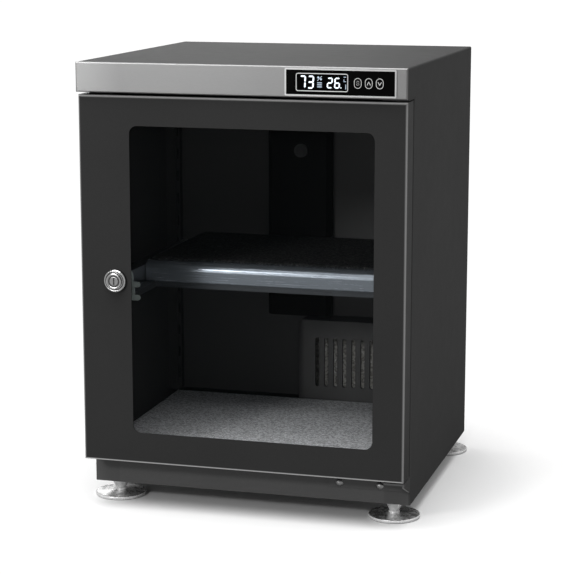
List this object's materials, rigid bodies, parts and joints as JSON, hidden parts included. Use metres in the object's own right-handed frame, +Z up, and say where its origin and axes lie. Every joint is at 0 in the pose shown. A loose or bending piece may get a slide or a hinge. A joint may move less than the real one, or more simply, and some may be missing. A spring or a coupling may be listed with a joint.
{
  "type": "camera dry cabinet",
  "caption": "Humidity-controlled storage cabinet with a glazed hinged door, cam lock, sliding shelf, readout header, drying unit and levelling feet.",
  "frame": {"origin": "centre of the bounding box's base, on the surface under the feet", "axes": "+Z up, the door and readout face -Y, +X to the right seen from the front"},
  "size_m": [0.342, 0.341, 0.45],
  "materials": {
    "painted_steel": "satin dark grey powder coat",
    "fascia_metal": "satin silver",
    "plated_steel": "zinc plated",
    "runner_steel": "satin blue grey",
    "tray_steel": "satin silver blue",
    "chrome": "polished",
    "cam_steel": "zinc plated",
    "black_gloss": "gloss",
    "black_plastic": "matt",
    "grey_plastic": "matt",
    "key_plastic": "gloss",
    "readout_glass": "gloss",
    "board": "satin",
    "desiccant": "granular",
    "window_glass": "clear",
    "gasket_rubber": "matt",
    "foam": "speckled foam"
  },
  "bodies": {
    "cabinet": {"side_left": "painted_steel", "side_right": "painted_steel", "top_rail": "painted_steel", "plinth_panel": "painted_steel", "floor_pan": "painted_steel", "ceiling_pan": "painted_steel", "back_panel": "painted_steel", "base_pan": "painted_steel", "foot_inserts": "plated_steel", "header_base": "painted_steel", "header_cover": "painted_steel", "fascia": "fascia_metal", "display_bezel": "fascia_metal", "display_panel": "black_gloss", "lcd_module": "readout_glass", "control_board": "board", "hinge_lower": "painted_steel", "hinge_upper": "painted_steel", "hinge_screws": "chrome", "pilasters_left": "plated_steel", "pilasters_right": "plated_steel", "shelf_frame": "runner_steel", "floor_mat": "foam", "duct_cover": "grey_plastic", "sensor_cap": "grey_plastic", "dryer_housing": "grey_plastic", "dryer_core": "desiccant", "rear_cover": "black_plastic", "rear_screws": "chrome", "dc_socket": "black_plastic"},
    "door": {"door_skin": "painted_steel", "door_glass": "window_glass", "glass_clips": "plated_steel", "door_gasket": "gasket_rubber", "door_bushes": "black_plastic", "lock_barrel": "chrome", "lock_nut": "chrome"},
    "lock": {"lock_plug": "chrome", "lock_cam": "cam_steel"},
    "shelf": {"shelf_tray": "tray_steel", "shelf_mat": "foam"},
    "key_set": {"key_set": "key_plastic"},
    "key_up": {"key_up": "key_plastic"},
    "key_down": {"key_down": "key_plastic"},
    "shutter_in": {"shutter_in": "black_plastic"},
    "shutter_out": {"shutter_out": "black_plastic"},
    "foot_fl": {"foot_fl_disc": "chrome", "foot_fl_stud": "chrome"},
    "foot_fr": {"foot_fr_disc": "chrome", "foot_fr_stud": "chrome"},
    "foot_bl": {"foot_bl_disc": "chrome", "foot_bl_stud": "chrome"},
    "foot_br": {"foot_br_disc": "chrome", "foot_br_stud": "chrome"}
  },
  "joints": [
    {"name": "door_hinge", "type": "hinge", "parent": "cabinet", "child": "door", "pos_m": [0.15475, -0.151, 0.05], "axis": [0, 0, 1], "range_deg": [0, 120]},
    {"name": "lock_turn", "type": "hinge", "parent": "door", "child": "lock", "pos_m": [-0.128, -0.1575, 0.2348], "axis": [0, 1, 0], "range_deg": [0, 90]},
    {"name": "shelf_slide", "type": "slide", "parent": "cabinet", "child": "shelf", "axis": [0, -1, 0], "range_m": [0, 0.06]},
    {"name": "key_set_press", "type": "slide", "parent": "cabinet", "child": "key_set", "axis": [0, 1, 0], "range_m": [0, 0.0004], "stiffness_N_per_m": 2500},
    {"name": "key_up_press", "type": "slide", "parent": "cabinet", "child": "key_up", "axis": [0, 1, 0], "range_m": [0, 0.0004], "stiffness_N_per_m": 2500},
    {"name": "key_down_press", "type": "slide", "parent": "cabinet", "child": "key_down", "axis": [0, 1, 0], "range_m": [0, 0.0004], "stiffness_N_per_m": 2500},
    {"name": "shutter_in_slide", "type": "slide", "parent": "cabinet", "child": "shutter_in", "axis": [1, 0, 0], "range_m": [0, 0.0052]},
    {"name": "shutter_out_slide", "type": "slide", "parent": "cabinet", "child": "shutter_out", "axis": [-1, 0, 0], "range_m": [0, 0.0052]},
    {"name": "foot_fl_level", "type": "slide", "parent": "cabinet", "child": "foot_fl", "axis": [0, 0, -1], "range_m": [0, 0.008]},
    {"name": "foot_fr_level", "type": "slide", "parent": "cabinet", "child": "foot_fr", "axis": [0, 0, -1], "range_m": [0, 0.008]},
    {"name": "foot_bl_level", "type": "slide", "parent": "cabinet", "child": "foot_bl", "axis": [0, 0, -1], "range_m": [0, 0.008]},
    {"name": "foot_br_level", "type": "slide", "parent": "cabinet", "child": "foot_br", "axis": [0, 0, -1], "range_m": [0, 0.008]}
  ],
  "couplings": [
    {"joint": "shutter_out_slide", "follows": "shutter_in_slide", "ratio": 1}
  ]
}
